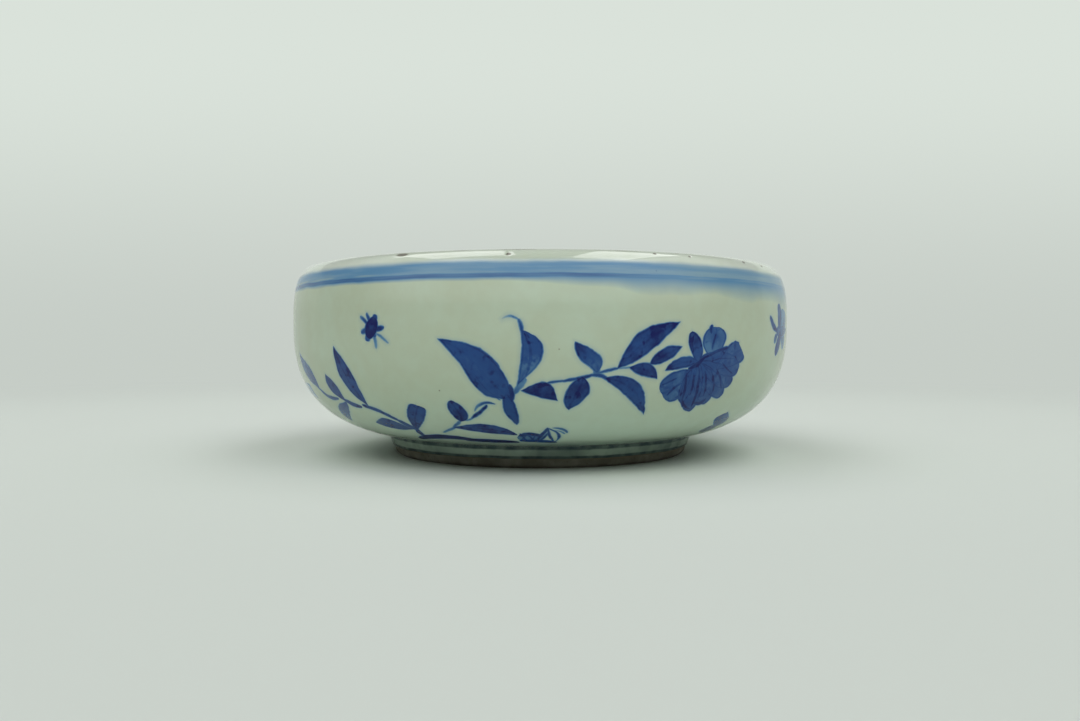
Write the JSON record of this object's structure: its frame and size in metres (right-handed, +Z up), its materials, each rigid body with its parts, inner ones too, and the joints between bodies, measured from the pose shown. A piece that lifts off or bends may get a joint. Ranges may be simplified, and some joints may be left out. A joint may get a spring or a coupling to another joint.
{
  "type": "brush washer",
  "caption": "Low round porcelain bowl with an incurved lip on a turned foot ring, glazed and painted in blue with lines and flower sprays; holds water for rinsing brushes.",
  "frame": {"origin": "centre of the ring that the foot rests on, at table level", "axes": "+Z up through the mouth, -Y towards the painted front"},
  "size_m": [0.16, 0.16, 0.059],
  "materials": {
    "porcelain_paste": "fired unglazed porcelain paste",
    "bare_foot": "bare, iron-stained and rubbed paste",
    "clear_glaze": "glossy greenish grey-white glaze",
    "cobalt_line": "cobalt line under glossy glaze",
    "cobalt_wash": "thin cobalt wash under glossy glaze",
    "foot_line": "dull cobalt line under glossy glaze"
  },
  "bodies": {
    "root": {"thrown_body": "porcelain_paste", "foot_ring": "bare_foot", "lip_glaze": "clear_glaze", "rim_line_upper": "cobalt_line", "rim_wash": "cobalt_wash", "rim_line_lower": "cobalt_line", "wall_glaze": "clear_glaze", "foot_line_upper": "foot_line", "foot_glaze": "clear_glaze", "foot_line_lower": "foot_line", "well_glaze": "clear_glaze", "base_glaze": "clear_glaze"}
  },
  "joints": []
}
